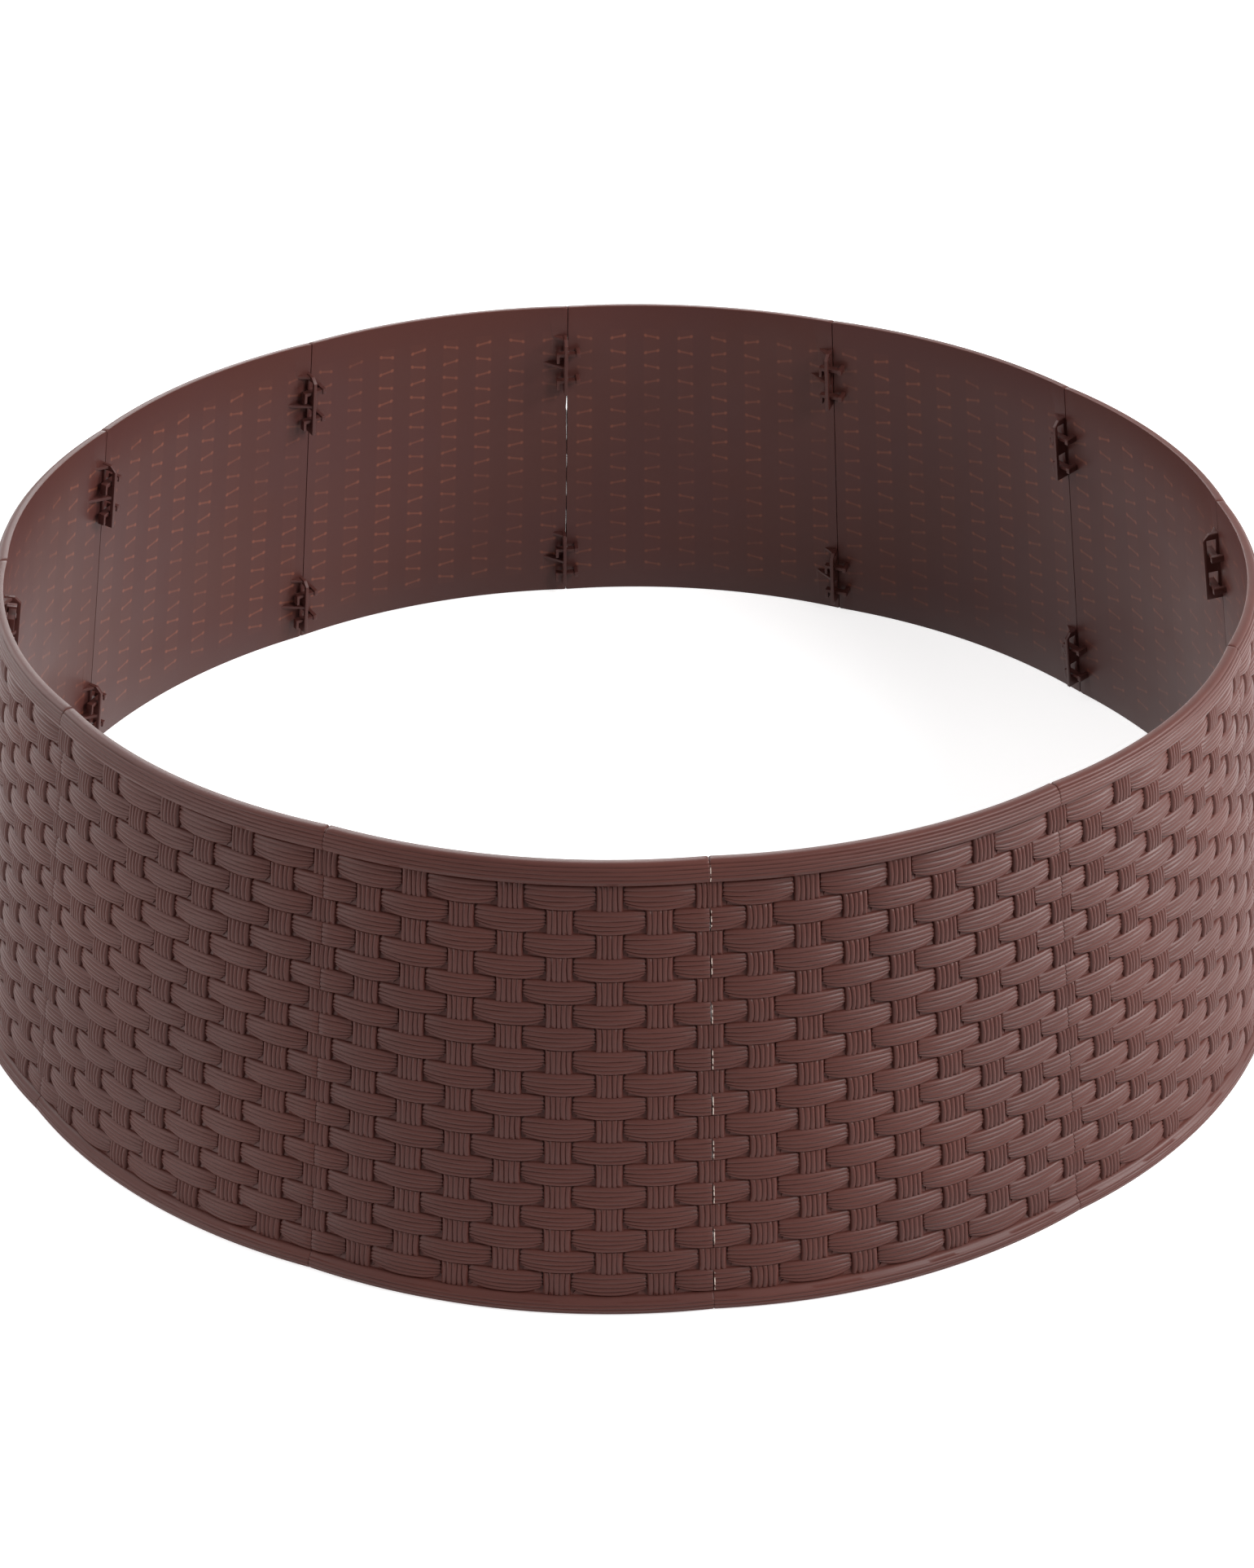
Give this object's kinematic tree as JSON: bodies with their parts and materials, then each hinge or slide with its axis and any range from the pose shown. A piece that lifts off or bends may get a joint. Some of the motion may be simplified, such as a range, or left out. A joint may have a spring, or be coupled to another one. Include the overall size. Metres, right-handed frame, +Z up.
{
  "type": "christmas tree collar",
  "caption": "Tapered ring of hooked-together basketweave plastic panels that stands on the floor and hides a tree stand; it opens at the front seam.",
  "frame": {"origin": "centre of the ring on the floor, at the middle of the underside", "axes": "+Z up along the ring's axis; -Y towards the front seam, where the ring opens"},
  "size_m": [0.8544, 0.8544, 0.254],
  "materials": {
    "brown_plastic": "satin"
  },
  "bodies": {
    "panel_01": {"panel_01": "brown_plastic"},
    "panel_02": {"panel_02": "brown_plastic"},
    "panel_03": {"panel_03": "brown_plastic"},
    "panel_04": {"panel_04": "brown_plastic"},
    "panel_05": {"panel_05": "brown_plastic"},
    "panel_06": {"panel_06": "brown_plastic"},
    "panel_07": {"panel_07": "brown_plastic"},
    "panel_08": {"panel_08": "brown_plastic"},
    "panel_09": {"panel_09": "brown_plastic"},
    "panel_10": {"panel_10": "brown_plastic"},
    "panel_11": {"panel_11": "brown_plastic"},
    "panel_12": {"panel_12": "brown_plastic"}
  },
  "joints": [
    {"name": "seam_06", "type": "hinge", "parent": "panel_06", "child": "panel_07", "pos_m": [0, 0.428, 0], "axis": [0, 0, -1], "range_deg": [0, 3]},
    {"name": "seam_07", "type": "hinge", "parent": "panel_07", "child": "panel_08", "pos_m": [-0.214, 0.37066, 0], "axis": [0, 0, -1], "range_deg": [0, 3]},
    {"name": "seam_08", "type": "hinge", "parent": "panel_08", "child": "panel_09", "pos_m": [-0.37066, 0.214, 0], "axis": [0, 0, -1], "range_deg": [0, 3]},
    {"name": "seam_09", "type": "hinge", "parent": "panel_09", "child": "panel_10", "pos_m": [-0.428, 0, 0], "axis": [0, 0, -1], "range_deg": [0, 3]},
    {"name": "seam_10", "type": "hinge", "parent": "panel_10", "child": "panel_11", "pos_m": [-0.37066, -0.214, 0], "axis": [0, 0, -1], "range_deg": [0, 3]},
    {"name": "seam_11", "type": "hinge", "parent": "panel_11", "child": "panel_12", "pos_m": [-0.214, -0.37066, 0], "axis": [0, 0, -1], "range_deg": [0, 3]},
    {"name": "seam_05", "type": "hinge", "parent": "panel_06", "child": "panel_05", "pos_m": [0.214, 0.37066, 0], "axis": [0, 0, 1], "range_deg": [0, 3]},
    {"name": "seam_04", "type": "hinge", "parent": "panel_05", "child": "panel_04", "pos_m": [0.37066, 0.214, 0], "axis": [0, 0, 1], "range_deg": [0, 3]},
    {"name": "seam_03", "type": "hinge", "parent": "panel_04", "child": "panel_03", "pos_m": [0.428, 0, 0], "axis": [0, 0, 1], "range_deg": [0, 3]},
    {"name": "seam_02", "type": "hinge", "parent": "panel_03", "child": "panel_02", "pos_m": [0.37066, -0.214, 0], "axis": [0, 0, 1], "range_deg": [0, 3]},
    {"name": "seam_01", "type": "hinge", "parent": "panel_02", "child": "panel_01", "pos_m": [0.214, -0.37066, 0], "axis": [0, 0, 1], "range_deg": [0, 3]}
  ],
  "couplings": [
    {"joint": "seam_07", "follows": "seam_06", "ratio": 1},
    {"joint": "seam_08", "follows": "seam_06", "ratio": 1},
    {"joint": "seam_09", "follows": "seam_06", "ratio": 1},
    {"joint": "seam_10", "follows": "seam_06", "ratio": 1},
    {"joint": "seam_11", "follows": "seam_06", "ratio": 1},
    {"joint": "seam_05", "follows": "seam_06", "ratio": 1},
    {"joint": "seam_04", "follows": "seam_06", "ratio": 1},
    {"joint": "seam_03", "follows": "seam_06", "ratio": 1},
    {"joint": "seam_02", "follows": "seam_06", "ratio": 1},
    {"joint": "seam_01", "follows": "seam_06", "ratio": 1}
  ]
}
